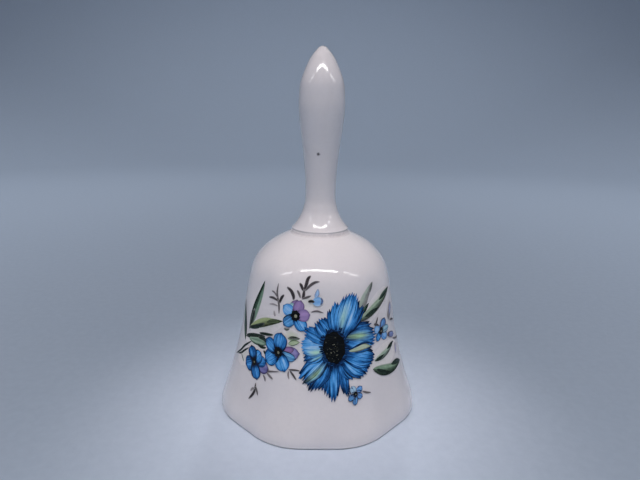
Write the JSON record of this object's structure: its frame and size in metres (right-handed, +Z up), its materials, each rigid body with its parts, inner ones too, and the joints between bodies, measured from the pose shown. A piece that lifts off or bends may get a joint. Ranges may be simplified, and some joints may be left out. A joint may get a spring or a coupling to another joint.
{
  "type": "porcelain bell",
  "caption": "Porcelain table bell with an octagonal flared skirt, round dome and turned handle, a printed flower spray, and a glazed bead clapper hung on wire and chain inside.",
  "frame": {"origin": "middle of the rim's foot, on the surface that the bell stands on", "axes": "+Z up along the bell's axis to the tip of the handle; -Y towards the decorated front, which is the middle of a flat side; +X to the right seen from the front"},
  "size_m": [0.0728, 0.0728, 0.1274],
  "materials": {
    "porcelain": "glossy clear glaze over warm white porcelain",
    "seam_slip": "thin glazed slip joint, slightly darker",
    "cement": "matt white dental-type cement",
    "wire": "drawn steel wire, dull bright"
  },
  "bodies": {
    "bell": {"bell_shell": "porcelain", "handle": "porcelain", "handle_seam": "seam_slip", "hanger_cement": "cement", "hanger_eye": "wire"},
    "link_1": {"chain_link_1": "wire"},
    "link_2": {"chain_link_2": "wire"},
    "link_3": {"chain_link_3": "wire"},
    "clapper": {"clapper_wire": "wire"},
    "bead": {"clapper_bead": "porcelain"}
  },
  "joints": [
    {"name": "link_1_swing", "type": "hinge", "parent": "bell", "child": "link_1", "pos_m": [0, 0, 0.0533], "axis": [1, 0, 0], "range_deg": [-15, 15]},
    {"name": "link_2_swing", "type": "hinge", "parent": "link_1", "child": "link_2", "pos_m": [0, 0, 0.04865], "axis": [0, 1, 0], "range_deg": [-17, 17]},
    {"name": "link_3_swing", "type": "hinge", "parent": "link_2", "child": "link_3", "pos_m": [0, 0, 0.04395], "axis": [1, 0, 0], "range_deg": [-10, 10]},
    {"name": "clapper_swing", "type": "hinge", "parent": "link_3", "child": "clapper", "pos_m": [0, 0, 0.03925], "axis": [0, 1, 0], "range_deg": [-13, 13]},
    {"name": "bead_spin", "type": "hinge", "parent": "clapper", "child": "bead", "pos_m": [0, 0, 0.0145], "axis": [0, 0, 1], "continuous": true}
  ]
}
